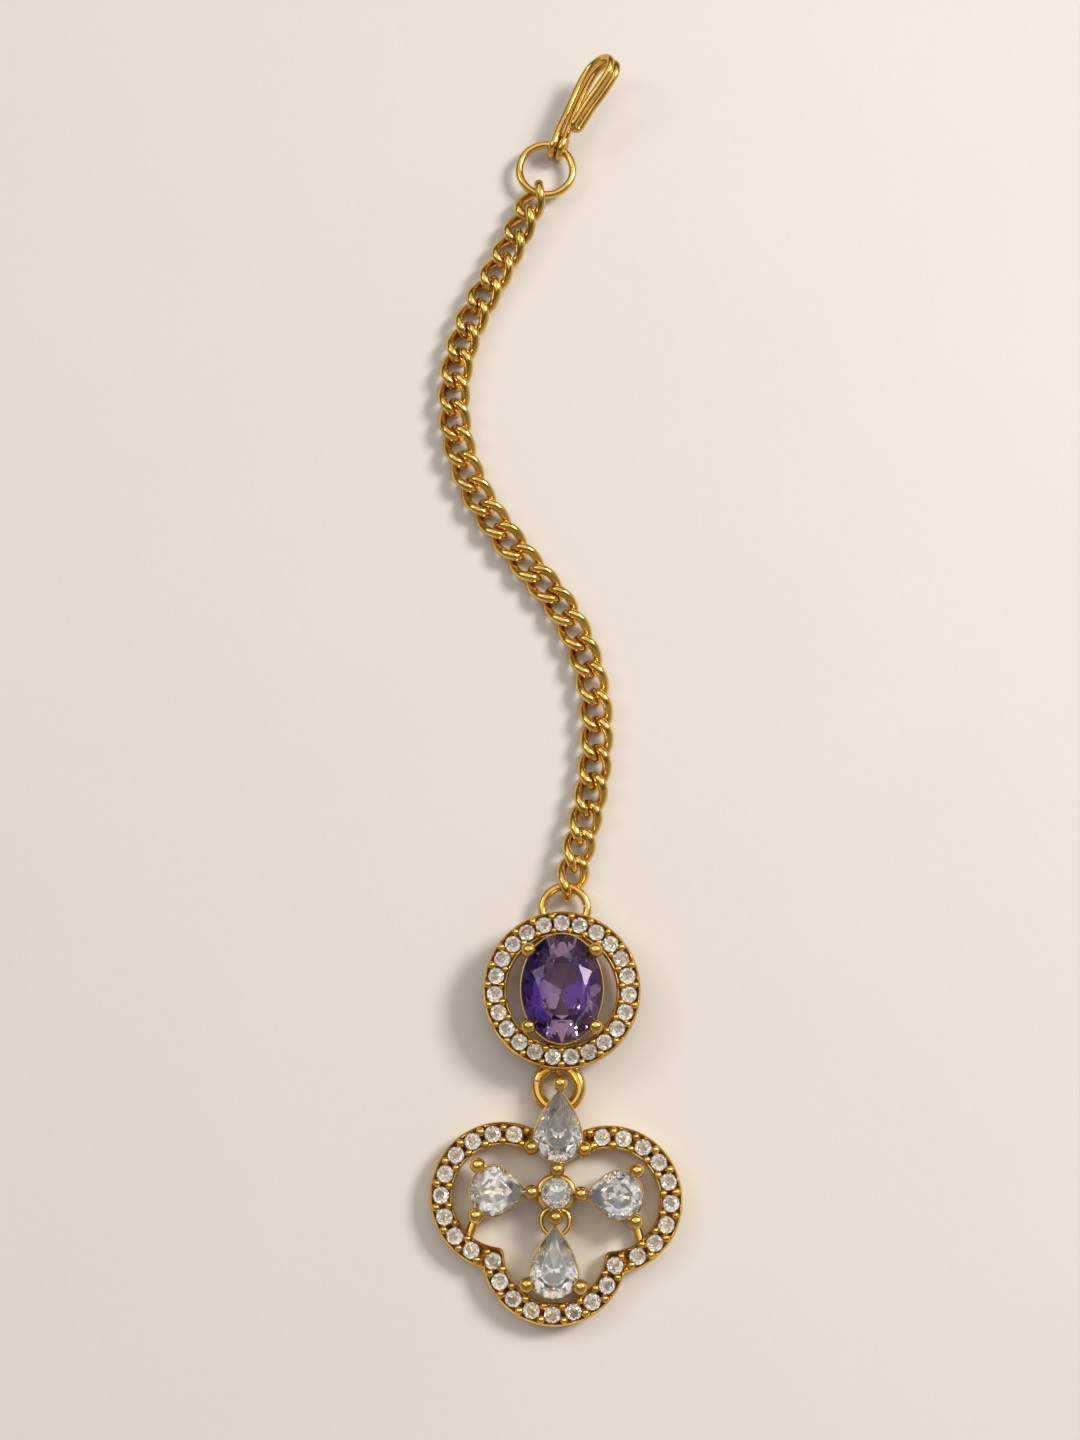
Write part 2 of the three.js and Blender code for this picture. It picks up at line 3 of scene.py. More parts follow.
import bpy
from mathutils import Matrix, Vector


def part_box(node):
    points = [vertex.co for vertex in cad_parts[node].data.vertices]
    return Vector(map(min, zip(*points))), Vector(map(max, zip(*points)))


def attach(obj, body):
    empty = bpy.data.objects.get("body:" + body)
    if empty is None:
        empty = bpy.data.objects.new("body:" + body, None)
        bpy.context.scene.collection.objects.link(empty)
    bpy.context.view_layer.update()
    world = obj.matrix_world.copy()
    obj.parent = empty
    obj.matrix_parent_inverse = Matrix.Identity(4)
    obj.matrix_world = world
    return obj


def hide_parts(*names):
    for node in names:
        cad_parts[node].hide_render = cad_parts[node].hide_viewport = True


bl_info = {
    "name": "Maang Tikka",
    "version": (1, 0, 0),
    "blender": (4, 5, 0),
    "location": "View3D > Sidebar > Maang Tikka",
    "description": "Builds the chain, rings, hook, settings and cut stones of a forehead jewel",
    "category": "Add Mesh",
}

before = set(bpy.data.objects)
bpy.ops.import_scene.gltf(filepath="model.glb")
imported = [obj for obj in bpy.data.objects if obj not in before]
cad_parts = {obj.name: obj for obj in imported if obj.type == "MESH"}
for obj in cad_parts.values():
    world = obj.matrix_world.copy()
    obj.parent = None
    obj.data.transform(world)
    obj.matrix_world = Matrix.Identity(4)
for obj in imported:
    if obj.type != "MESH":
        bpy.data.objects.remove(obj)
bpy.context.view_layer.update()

import math
import random

import bmesh
import bpy
from bpy.props import FloatProperty, FloatVectorProperty, IntProperty, PointerProperty
from bpy.types import Operator, Panel, PropertyGroup
from mathutils import Matrix, Vector

MM = 0.001


def box_middle(node):
    """Middle of a solid's box, in millimetres."""
    low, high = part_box(node)
    return Vector([(low[i] + high[i]) / 2 / MM for i in range(3)])


def box_top(node):
    """Highest point of a solid, in millimetres."""
    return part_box(node)[1][2] / MM


HALO = box_middle("oval_stone")
CLOVER = box_middle("round_stone")

# The halo's eyelets: how far inside its edge they lie, and the gap round the ring in them.
UPPER_EYE_INSET = 1.25
LOWER_EYE_INSET = 0.42
EYE_GAP = 0.11
# Sideways places of the upper ring, and of the lower ring with its eyelet.
UPPER_RING_X = 0.25
LOWER_EYE_X = -0.25
# Width of the cut in an open ring, and the gap between a ring and the link that it holds.
RING_OPENING = 0.12
LINK_GAP = 0.1

# Names of the chain's links, from the halo to the hook ring.
LINKS = [f"link_{number:02d}" for number in range(1, 29)]
CHAIN_START_HEADING = 77.5
# Links in the row, heading in degrees that the row turns to.
CHAIN_ROWS = [
    (3, 75.5), (3, 87.5), (3, 107.5), (3, 130), (3, 124.5),
    (3, 104), (3, 80.5), (3, 61), (4, 67.5),
]
# Roll in degrees of the links at both ends, the outermost first.
END_ROLLS = [36, 27, 18, 9]
# Shank, bend and return leg of the hook: distance along it, distance across it.
HOOK_PROFILE = [
    (1.2, 0), (3.2, 0), (5.1, 0.1), (6.6, 0.5), (7.35, 1.6),
    (7.1, 2.7), (6.1, 3.1), (4.6, 2.65), (3.0, 1.95), (1.5, 1.45),
]


def length(name, default, description):
    """A size in millimetres that the sidebar shows."""
    return FloatProperty(name=name, description=description, default=default,
                         min=0.01, subtype="DISTANCE")


def colour(name, default, description):
    """A colour that the sidebar shows."""
    return FloatVectorProperty(name=name, description=description, default=default,
                               size=3, min=0, max=1, subtype="COLOR")


class WireSizes(PropertyGroup):
    """Sizes of the chain, the rings and the hook, in millimetres."""
    link_wire: length("Link wire", 0.72, "Thickness of the chain's wire")
    link_half_length: length("Link half length", 1.452, "Half of a link, to the wire's middle")
    link_half_width: length("Link half width", 0.94,
                            "Half of a link's width, to the wire's middle")
    link_pitch: length("Link pitch", 2.16, "Distance from one link to the next")
    link_twist: FloatProperty(name="Link twist", default=math.radians(-56), subtype="ANGLE",
                              description="Twist from a link's middle to its end")
    jump_radius: length("Jump ring radius", 1.67, "Radius of the upper ring's wire line")
    jump_wire: length("Jump ring wire", 0.65, "Thickness of the upper ring")
    connector_radius: length("Connector radius", 1.57, "Radius of the lower ring's wire line")
    connector_wire: length("Connector wire", 0.88, "Thickness of the lower ring")
    hook_ring_radius: length("Hook ring radius", 2.12, "Radius of the hook ring's wire line")
    hook_ring_wire: length("Hook ring wire", 0.6, "Thickness of the hook ring")
    hook_wire: length("Hook wire", 0.6, "Thickness of the hook's wire")
    strand_gap: length("Strand gap", 0.1, "Gap between the hook's two strands")


class SettingSizes(PropertyGroup):
    """Sizes of the halo and the clover, in millimetres."""
    halo_radius: length("Halo radius", 5.75, "Outer radius of the halo")
    halo_band: length("Halo band", 1.73, "Width of the halo's band")
    halo_stones: IntProperty(name="Halo stones", description="Pave stones in the halo",
                             default=23, min=3)
    lobe_radius: length("Lobe radius", 4.46, "Radius of each lobe's middle line")
    lobe_band: length("Lobe band", 1.65, "Width of the clover's band")
    lobe_stones: IntProperty(name="Lobe stones", description="Pave stones in each lobe",
                             default=9, min=3)
    halo_bead: length("Halo bead", 0.29, "Radius of the grains between the halo's stones")
    lobe_bead: length("Clover bead", 0.31, "Radius of the grains between the clover's stones")
    ball: length("Ball", 0.56, "Radius of the prongs' round heads")
    bezel: length("Bezel", 0.08, "Wall of the gold line round each main stone")


class JewelColours(PropertyGroup):
    """Colours of the metal, the stones and the stage."""
    gold: colour("Gold", (0.80, 0.52, 0.13), "Polished gold plate")
    old_gold: colour("Old gold", (0.56, 0.33, 0.065), "Darker gold where it is rubbed less")
    # The oval's violet darkens to a painted shade on its left side, away from the light.
    violet: colour("Violet", (0.30, 0.19, 0.29), "Oval stone, paler side")
    violet_painted_shade: colour("Deep violet", (0.02, 0.005, 0.19), "Oval stone, darker side")
    clear: colour("Clear", (1.0, 0.995, 0.98), "Pear, round and pave stones")
    # Painted shade for the clear stones' darker facets, standing in for dark reflections.
    clear_painted_shade: colour("Clear shade", (0.45, 0.44, 0.42), "Darker facets of the clear stones")
    floor: colour("Floor", (0.70, 0.668, 0.63), "Pale floor")


# Mesh making

def add_mesh(name, points, faces, material, smooth_angle=40):
    """Object from points in millimetres, shaded smooth below an angle between faces."""
    mesh = bpy.data.meshes.new(name)
    mesh.from_pydata([Vector(point) * MM for point in points], [], faces)
    mesh.validate()
    if smooth_angle:
        mesh.polygons.foreach_set("use_smooth", [True] * len(mesh.polygons))
        mesh.set_sharp_from_angle(angle=math.radians(smooth_angle))
    mesh.materials.append(material)
    piece = bpy.data.objects.new(name, mesh)
    bpy.context.scene.collection.objects.link(piece)
    return piece


def add_stones(name, points, faces, material):
    """Object of cut stones whose facets each keep a number from 0 to 1 for the painted light and
    shade on them.
    """
    piece = add_mesh(name, points, faces, material, None)
    chance = random.Random(name)
    facets = piece.data.attributes.new("facet", "FLOAT", "FACE")
    facets.data.foreach_set("value", [chance.random() for _ in piece.data.polygons])
    return piece


class Shape:
    """Points and faces gathered from simple parts that make up one piece."""

    def __init__(self):
        self.points = []
        self.faces = []

    def add(self, points, faces, matrix=None):
        start = len(self.points)
        for point in points:
            point = Vector(point)
            self.points.append(matrix @ point if matrix else point)
        self.faces.extend([tuple(index + start for index in face) for face in faces])


def tube(points, radius, sides, closed=True):
    """Round wire along points, with frames carried along so that it doesn't twist."""
    count = len(points)
    ways = []
    for i in range(count):
        before = points[i - 1] if closed or i > 0 else points[i]
        after = points[(i + 1) % count] if closed or i < count - 1 else points[i]
        ways.append((after - before).normalized())
    side = ways[0].orthogonal().normalized()
    sides_along = [side]
    for i in range(1, count):
        side = sides_along[-1] - ways[i] * sides_along[-1].dot(ways[i])
        sides_along.append(side.normalized())
    turn_back = 0.0
    if closed:
        last = sides_along[-1] - ways[0] * sides_along[-1].dot(ways[0])
        turn_back = last.angle(sides_along[0])
        if last.cross(sides_along[0]).dot(ways[0]) < 0:
            turn_back = -turn_back
    rings = []
    for i in range(count):
        side = Matrix.Rotation(turn_back * i / count, 3, ways[i]) @ sides_along[i]
        other = ways[i].cross(side)
        for j in range(sides):
            angle = 2 * math.pi * j / sides
            rings.append(points[i] + (side * math.cos(angle) + other * math.sin(angle)) * radius)
    faces = []
    for i in range(count if closed else count - 1):
        for j in range(sides):
            a = i * sides + j
            b = i * sides + (j + 1) % sides
            c = ((i + 1) % count) * sides + (j + 1) % sides
            d = ((i + 1) % count) * sides + j
            faces.append((a, b, c, d))
    if not closed:
        faces.append(tuple(range(sides - 1, -1, -1)))
        faces.append(tuple(range((count - 1) * sides, count * sides)))
    return rings, faces


def turned(profile, count):
    """Solid of revolution about Z from (radius, height) pairs that start and end on the axis."""
    points = [(0, 0, profile[0][1])]
    for radius, height in profile[1:-1]:
        for i in range(count):
            angle = 2 * math.pi * i / count
            points.append((radius * math.cos(angle), radius * math.sin(angle), height))
    points.append((0, 0, profile[-1][1]))
    faces = []
    rows = len(profile) - 2
    for i in range(count):
        after = (i + 1) % count
        faces.append((0, 1 + after, 1 + i))
        for row in range(rows - 1):
            low = 1 + row * count
            faces.append((low + i, low + after, low + count + after, low + count + i))
        top = 1 + (rows - 1) * count
        faces.append((top + i, top + after, len(points) - 1))
    return points, faces


def lofted(loops, closed_way=True, closed_across=True):
    """Skin over equal loops of points, each loop joined to the next."""
    count = len(loops[0])
    points = [point for loop in loops for point in loop]
    faces = []
    for row in range(len(loops) if closed_across else len(loops) - 1):
        after_row = (row + 1) % len(loops)
        for i in range(count if closed_way else count - 1):
            after = (i + 1) % count
            faces.append((row * count + i, row * count + after,
                          after_row * count + after, after_row * count + i))
    if not closed_way:
        faces.append(tuple(row * count for row in range(len(loops))))
        faces.append(tuple(row * count + count - 1 for row in reversed(range(len(loops)))))
    return points, faces


def ball(radius, centre, across=14, up=9):
    """Round grain."""
    profile = []
    for i in range(up + 1):
        angle = -math.pi / 2 + math.pi * i / up
        profile.append((radius * math.cos(angle), radius * math.sin(angle)))
    points, faces = turned(profile, across)
    return [Vector(point) + Vector(centre) for point in points], faces


# Outlines

def ellipse_outline(half_x, half_y, count):
    """Points round an ellipse, counterclockwise from +X."""
    turns = [2 * math.pi * i / count for i in range(count)]
    return [(half_x * math.cos(turn), half_y * math.sin(turn)) for turn in turns]


def pear_outline(width, length_along, count=32):
    """Pear with its tip toward +Y, its middle at the origin, from the tip round by the left."""
    round_centre = -length_along / 2 + width * 0.48
    tip = length_along / 2
    quarter = count // 4
    points = []
    for i in range(quarter):
        part = 1 - i / quarter
        across = (width / 2) * (1 - part ** 1.7)
        points.append((-across, round_centre + part * (tip - round_centre)))
    for i in range(count // 2):
        angle = math.pi + math.pi * i / (count // 2)
        points.append(((width / 2) * math.cos(angle),
                       round_centre + width * 0.48 * math.sin(angle)))
    for i in range(quarter):
        part = i / quarter
        across = (width / 2) * (1 - part ** 1.7)
        points.append((across, round_centre + part * (tip - round_centre)))
    return points


def grown(outline, distance):
    """Outline moved outward by a distance."""
    moved = []
    count = len(outline)
    for i in range(count):
        before = Vector(outline[i - 1])
        after = Vector(outline[(i + 1) % count])
        way = (after - before).normalized()
        point = Vector(outline[i]) + Vector((way.y, -way.x)) * distance
        moved.append((point.x, point.y))
    return moved


def cut_stone(outline, girdle, crown, depth, centre=(0, 0), edge=0.05):
    """Brilliant-cut stone on a convex outline: table, stars, bezels, girdle, mains and culet."""
    count = len(outline)
    step = count // 8
    middle = Vector((centre[0], centre[1]))
    bm = bmesh.new()

    def ring(share, height, every, first):
        for i in range(first, count, every):
            flat = middle + (Vector(outline[i]) - middle) * share
            bm.verts.new((flat.x * MM, flat.y * MM, height * MM))

    ring(1, girdle + edge, step // 2, 0)
    ring(1, girdle - edge, step // 2, 0)
    ring(0.80, girdle + edge + crown * 0.60, step, step // 2)
    ring(0.58, girdle + edge + crown, step, 0)
    ring(0.52, girdle - edge - depth * 0.60, step, step // 2)
    bm.verts.new((middle.x * MM, middle.y * MM, (girdle - edge - depth) * MM))
    result = bmesh.ops.convex_hull(bm, input=bm.verts)
    spare = [item for item in result["geom_interior"] + result["geom_unused"]
             if isinstance(item, bmesh.types.BMVert)]
    bmesh.ops.delete(bm, geom=spare, context="VERTS")
    bmesh.ops.recalc_face_normals(bm, faces=bm.faces)
    bmesh.ops.dissolve_limit(bm, angle_limit=math.radians(0.8), verts=bm.verts, edges=bm.edges)
    points = [vert.co / MM for vert in bm.verts]
    bm.verts.index_update()
    faces = [tuple(vert.index for vert in face.verts) for face in bm.faces]
    bm.free()
    return points, faces


# Materials

def add_node(tree, kind, **values):
    """Shader node of a kind, with some of its sockets set."""
    node = tree.nodes.new(f"ShaderNode{kind}")
    for socket, value in values.items():
        node.inputs[socket.replace("_", " ")].default_value = value
    return node


def colour_ramp(tree, stops):
    """Colour ramp node with a stop at each position."""
    node = add_node(tree, "ValToRGB")
    for position, _ in stops[2:]:
        node.color_ramp.elements.new(position)
    for element, (position, value) in zip(node.color_ramp.elements, stops):
        element.position = position
        element.color = (*value, 1)
    return node


def new_material(name):
    """Material with its node tree and its Principled shader."""
    material = bpy.data.materials.new(name)
    material.use_nodes = True
    shader = material.node_tree.nodes["Principled BSDF"]
    return material, material.node_tree, shader


def gold_material(name, bright, dark, roughness):
    """Polished gold plate: warm colour drift, an uneven gloss and a soft ripple."""
    material, tree, shader = new_material(name)
    place = add_node(tree, "TexCoord")
    drift = add_node(tree, "TexNoise", Scale=420, Detail=3)
    tint = colour_ramp(tree, [(0.28, dark), (0.62, bright)])
    rub = add_node(tree, "TexNoise", Scale=2600, Detail=5)
    spread = add_node(tree, "MapRange", To_Min=roughness * 0.7, To_Max=roughness * 1.5)
    ripple = add_node(tree, "Bump", Strength=0.12, Distance=0.00004)
    tree.links.new(place.outputs["Object"], drift.inputs["Vector"])
    tree.links.new(place.outputs["Object"], rub.inputs["Vector"])
    tree.links.new(drift.outputs["Fac"], tint.inputs["Fac"])
    tree.links.new(tint.outputs["Color"], shader.inputs["Base Color"])
    tree.links.new(rub.outputs["Fac"], spread.inputs["Value"])
    tree.links.new(spread.outputs["Result"], shader.inputs["Roughness"])
    tree.links.new(drift.outputs["Fac"], ripple.inputs["Height"])
    tree.links.new(ripple.outputs["Normal"], shader.inputs["Normal"])
    shader.inputs["Metallic"].default_value = 1.0
    return material


def facet_chance(tree):
    """The number from 0 to 1 that each facet keeps for the painted light and shade on it."""
    facet = add_node(tree, "Attribute")
    facet.attribute_name = "facet"
    return facet.outputs["Fac"]


def clear_stone_material(name, tint, shade, clearness):
    """Clear cut stone whose facets are painted at random with bright, cream and dark painted
    reflections, a few with painted glints of coloured fire.
    """
    material, tree, shader = new_material(name)
    cream = (tint[0], tint[1] * 0.97, tint[2] * 0.89)
    # Painted reflections: each facet's number picks a bright, cream or painted-shade colour, or a
    # rare painted coloured glint.
    painted_glints = colour_ramp(tree, [
        (0.0, tint), (0.34, cream), (0.50, shade), (0.66, tint), (0.86, (0.80, 0.70, 0.98)),
        (0.89, (1.0, 0.86, 0.62)), (0.93, (0.66, 0.84, 1.0)), (0.965, tint)])
    painted_glints.color_ramp.interpolation = "CONSTANT"
    tree.links.new(facet_chance(tree), painted_glints.inputs["Fac"])
    tree.links.new(painted_glints.outputs["Color"], shader.inputs["Base Color"])
    shader.inputs["Transmission Weight"].default_value = clearness
    shader.inputs["IOR"].default_value = 2.0
    shader.inputs["Roughness"].default_value = 0.0
    return material


def violet_stone_material(name, tint, painted_shade_colour, middle):
    """Violet cut stone with painted shade: its colour deepens from its middle to the left, away
    from the light, and facet by facet.
    """
    material, tree, shader = new_material(name)
    place = add_node(tree, "TexCoord")
    split = add_node(tree, "SeparateXYZ")
    # Painted shade: the colour darkens toward the stone's left side, away from the light, and
    # each facet's number shifts it a little.
    side = add_node(tree, "MapRange", From_Min=(middle - 1.9) * MM, From_Max=(middle + 0.6) * MM)
    painted_shade_amount = add_node(tree, "Math")
    painted_shade_amount.operation = "MULTIPLY_ADD"
    painted_shade_amount.inputs[1].default_value = 0.3
    wash = colour_ramp(tree, [(0.3, painted_shade_colour), (0.95, tint)])
    tree.links.new(place.outputs["Object"], split.inputs["Vector"])
    tree.links.new(split.outputs["X"], side.inputs["Value"])
    tree.links.new(facet_chance(tree), painted_shade_amount.inputs[0])
    tree.links.new(side.outputs["Result"], painted_shade_amount.inputs[2])
    tree.links.new(painted_shade_amount.outputs["Value"], wash.inputs["Fac"])
    tree.links.new(wash.outputs["Color"], shader.inputs["Base Color"])
    shader.inputs["Transmission Weight"].default_value = 0.94
    shader.inputs["IOR"].default_value = 1.76
    shader.inputs["Specular Tint"].default_value = (0.26, 0.22, 0.32, 1)
    shader.inputs["Roughness"].default_value = 0.0
    return material


def floor_material(tint):
    """Pale plaster-like ground with a faint grain."""
    material, tree, shader = new_material("pale_floor")
    place = add_node(tree, "TexCoord")
    cloud = add_node(tree, "TexNoise", Scale=60, Detail=6)
    wash = colour_ramp(tree, [(0, [value * 0.96 for value in tint]), (1, tint)])
    grain = add_node(tree, "TexNoise", Scale=900, Detail=4)
    bump = add_node(tree, "Bump", Strength=0.10, Distance=0.0002)
    tree.links.new(place.outputs["Object"], cloud.inputs["Vector"])
    tree.links.new(place.outputs["Object"], grain.inputs["Vector"])
    tree.links.new(cloud.outputs["Fac"], wash.inputs["Fac"])
    tree.links.new(wash.outputs["Color"], shader.inputs["Base Color"])
    tree.links.new(grain.outputs["Fac"], bump.inputs["Height"])
    tree.links.new(bump.outputs["Normal"], shader.inputs["Normal"])
    shader.inputs["Roughness"].default_value = 0.75
    return material


def finish(name):
    """The material of this name, made on first use from the panel's colours."""
    if name in bpy.data.materials:
        return bpy.data.materials[name]
    tints = bpy.context.scene.jewel_colours
    if name == "polished_gold":
        return gold_material(name, tints.gold, tints.old_gold, 0.17)
    if name == "setting_gold":
        return gold_material(name, tints.gold, tints.old_gold, 0.20)
    if name == "violet_crystal":
        return violet_stone_material(name, tints.violet, tints.violet_painted_shade, HALO.x)
    if name == "clear_crystal":
        return clear_stone_material(name, tints.clear, tints.clear_painted_shade, 0.88)
    if name == "small_crystal":
        return clear_stone_material(name, tints.clear, tints.clear_painted_shade, 0.93)
    if name == "pale_floor":
        return floor_material(tints.floor)
    raise ValueError(f"no finish is called {name}")


def seat(piece, slot, *nodes):
    """Tie a piece to the jewel's body and hide the solids it stands for; the slot is not used."""
    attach(piece, "root")
    if nodes:
        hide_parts(*nodes)


# Chain

def heading_way(degrees):
    """Level direction from a heading in degrees."""
    return Vector((math.cos(math.radians(degrees)), math.sin(math.radians(degrees)), 0))


def ring_reach(ring_wire):
    """Distance from a ring's wire to the middle of the link that it holds."""
    sizes = bpy.context.scene.wire_sizes
    return sizes.link_half_length - (sizes.link_wire + ring_wire) / 2 - LINK_GAP


def jump_ring_middle():
    """Middle of the upper ring, which hangs from the halo's upper eyelet."""
    sizes = bpy.context.scene.wire_sizes
    edge = bpy.context.scene.setting_sizes.halo_radius
    return Vector((HALO.x + UPPER_RING_X, HALO.y + edge - UPPER_EYE_INSET + sizes.jump_radius,
                   box_middle("halo_jump_ring").z))


def connector_middle():
    """Middle of the lower ring, whose top stays just under the upper pear's setting."""
    sizes = bpy.context.scene.wire_sizes
    edge = bpy.context.scene.setting_sizes.halo_radius
    level = DROP_SEAT - 0.01 - sizes.connector_wire / 2
    return Vector((HALO.x + LOWER_EYE_X, HALO.y - edge + LOWER_EYE_INSET - sizes.connector_radius,
                   level))


def chain_places():
    """Middle, heading and roll of each link."""
    sizes = bpy.context.scene.wire_sizes
    heading = CHAIN_START_HEADING
    start = sizes.jump_radius + ring_reach(sizes.jump_wire)
    middle = jump_ring_middle() + heading_way(heading) * start
    places = []
    total = len(LINKS)
    for links, row_heading in CHAIN_ROWS:
        turn = (row_heading - heading) / links
        for _ in range(links):
            number = len(places)
            if number:
                middle = middle + heading_way(heading) * (sizes.link_pitch / 2)
                heading += turn
                middle = middle + heading_way(heading) * (sizes.link_pitch / 2)
            from_end = total - 1 - number
            roll = END_ROLLS[number] if number < 4 else 0
            roll -= END_ROLLS[from_end] if from_end < 4 else 0
            level = box_middle(LINKS[number]).z
            places.append((Vector((middle.x, middle.y, level)), heading, roll))
    return places


def link_line(roll, count=52):
    """Middle line of one twisted curb link."""
    sizes = bpy.context.scene.wire_sizes
    line = []
    for i in range(count):
        angle = 2 * math.pi * i / count
        cos, sin = math.cos(angle), math.sin(angle)
        along = sizes.link_half_length * math.copysign(abs(cos) ** 0.85, cos)
        across = sizes.link_half_width * math.copysign(abs(sin) ** 0.85, sin)
        turn = sizes.link_twist * along / sizes.link_half_length + math.radians(roll)
        line.append(Vector((along, across * math.cos(turn), across * math.sin(turn))))
    return line


class JEWEL_OT_chain(Operator):
    """Make the curb links as smooth round wire"""
    bl_idname = "jewel.chain"
    bl_label = "Curb chain"

    def execute(self, context):
        sizes = context.scene.wire_sizes
        for name, (middle, heading, roll) in zip(LINKS, chain_places()):
            place = Matrix.Translation(middle) @ Matrix.Rotation(math.radians(heading), 4, "Z")
            line = [place @ point for point in link_line(roll)]
            lift = sizes.link_wire / 2 - min(point.z for point in line)
            line = [point + Vector((0, 0, lift)) for point in line]
            points, faces = tube(line, sizes.link_wire / 2, 14)
            piece = add_mesh(f"{name}_wire", points, faces, finish("polished_gold"))
            seat(piece, "gold_plate", name)
        return {"FINISHED"}


# Rings

def ring_line(middle, radius, start, sweep, count):
    """Middle line of a level ring or of part of one, angles in degrees."""
    line = []
    for i in range(count):
        angle = math.radians(start + sweep * i / count)
        line.append(middle + Vector((radius * math.cos(angle), radius * math.sin(angle), 0)))
    return line


class JEWEL_OT_rings(Operator):
    """Make the hook ring and the two open jump rings"""
    bl_idname = "jewel.rings"
    bl_label = "Rings"

    def execute(self, context):
        sizes = context.scene.wire_sizes
        metal = finish("polished_gold")
        # A touch nearer the chain, to clear the last link's thicker wire.
        middle = box_middle("hook_ring") - Vector((0, 0.05, 0))
        line = ring_line(middle, sizes.hook_ring_radius, 0, 360, 72)
        points, faces = tube(line, sizes.hook_ring_wire / 2, 16)
        seat(add_mesh("hook_ring_wire", points, faces, metal), "gold_plate", "hook_ring")
        for name, middle, radius, wire, split in (
                ("halo_jump_ring", jump_ring_middle(), sizes.jump_radius, sizes.jump_wire, 8),
                ("connector_ring", connector_middle(), sizes.connector_radius,
                 sizes.connector_wire, 165)):
            opening = math.degrees(RING_OPENING / radius)
            sweep = 360 - opening
            line = ring_line(middle, radius, split + opening / 2, sweep * 70 / 69, 70)
            points, faces = tube(line, wire / 2, 18, closed=False)
            seat(add_mesh(f"{name}_wire", points, faces, metal), "gold_plate", name)
        return {"FINISHED"}


# Hair hook

def smooth_through(controls, steps):
    """Curve through control points, cut into as many steps between each two."""
    line = []
    count = len(controls)
    for i in range(count - 1):
        before = Vector(controls[max(i - 1, 0)])
        start = Vector(controls[i])
        end = Vector(controls[i + 1])
        after = Vector(controls[min(i + 2, count - 1)])
        for j in range(steps):
            t = j / steps
            line.append(0.5 * ((2 * start) + (end - before) * t
                               + (2 * before - 5 * start + 4 * end - after) * t ** 2
                               + (3 * start - before - 3 * end + after) * t ** 3))
    line.append(Vector(controls[-1]))
    return line


class JEWEL_OT_hook(Operator):
    """Make the hair hook: one wire laid double, with an eye round the hook ring"""
    bl_idname = "jewel.hook"
    bl_label = "Hair hook"

    def execute(self, context):
        sizes = context.scene.wire_sizes
        ring = box_middle("hook_ring")
        eye_radius = (sizes.hook_ring_wire + sizes.hook_wire) / 2 + 0.15
        spine = []
        for angle in range(360, 90, -12):
            turn = math.radians(angle)
            spine.append(Vector((eye_radius * math.cos(turn), eye_radius * (math.sin(turn) - 1))))
        eye_count = len(spine)
        spine += smooth_through([(0, 0)] + HOOK_PROFILE, 7)
        forward = heading_way(68.5)
        right = Vector((forward.y, -forward.x, 0))
        up = Vector((0, 0, 1))
        eye = ring + heading_way(63) * sizes.hook_ring_radius + up * eye_radius
        half = (sizes.hook_wire + sizes.strand_gap) / 2
        frames = []
        past = False
        lean = 90.0
        for index, point in enumerate(spine):
            before = spine[max(index - 1, 0)]
            after = spine[min(index + 1, len(spine) - 1)]
            travel = (after - before).normalized()
            past = past or point.x > 3
            if index >= eye_count and not past:
                part = min(max(point.x / 3, 0), 1)
                lean = 90 - 43 * part * part * (3 - 2 * part)
            if past:
                lean = 47.0
            slant = math.radians(lean)
            across = right * math.cos(slant) + up * math.sin(slant)
            side = right * math.sin(slant) - up * math.cos(slant)
            place = eye + forward * point.x + across * point.y
            frames.append((place, side, forward * travel.x + across * travel.y))

        def turn_back(frame_at, sign):
            place, side, way = frame_at
            angles = [math.radians(18 * step) for step in range(1, 10)]
            return [place + side * (sign * half * math.cos(angle))
                    + way * (sign * half * math.sin(angle)) for angle in angles]

        line = [place + side * half for place, side, _ in frames]
        line += turn_back(frames[-1], 1)
        line += [place - side * half for place, side, _ in reversed(frames)]
        line += turn_back(frames[0], -1)
        points, faces = tube(line, sizes.hook_wire / 2, 16)
        piece = add_mesh("hair_hook_wire", points, faces, finish("polished_gold"), 60)
        seat(piece, "gold_plate", "hair_hook")
        return {"FINISHED"}


# Settings

BAND_HEIGHT = 1.6
# Widths of the pave stones, and the depth of their girdles below the bands' rims.
HALO_PAVE = 1.17
CLOVER_PAVE = 1.2
PAVE_SINK = 0.06


def band_profile(half_width, bottom, top):
    """Cross-section of a pave band: offsets from its middle line, and heights."""
    lip = 0.14
    half = [
        (half_width - 0.08, bottom), (half_width - 0.02, bottom + 0.03),
        (half_width, bottom + 0.1), (half_width, top - 0.12),
        (half_width - 0.03, top - 0.04), (half_width - 0.08, top),
        (half_width - lip + 0.02, top - 0.01), (half_width - lip - 0.02, top - 0.07),
        (half_width - lip - 0.06, top - 0.32),
    ]
    return half + [(0, top - 0.72)] + [(-offset, height) for offset, height in reversed(half)]


def add_pave_stone(stones, size, spot, place, chance):
    """Small round stone, tipped and turned a little by chance as hand setting leaves it."""
    tip = Matrix.Rotation(math.radians(chance.uniform(-8, 8)), 4, "X")
    tip = tip @ Matrix.Rotation(math.radians(chance.uniform(-8, 8)), 4, "Y")
    matrix = place @ Matrix.Translation(spot) @ tip
    matrix = matrix @ Matrix.Rotation(chance.uniform(0, 6.28), 4, "Z")
    outline = ellipse_outline(size / 2, size / 2, 16)
    stones.add(*cut_stone(outline, 0, size * 0.19, size * 0.34, edge=0.02), matrix)


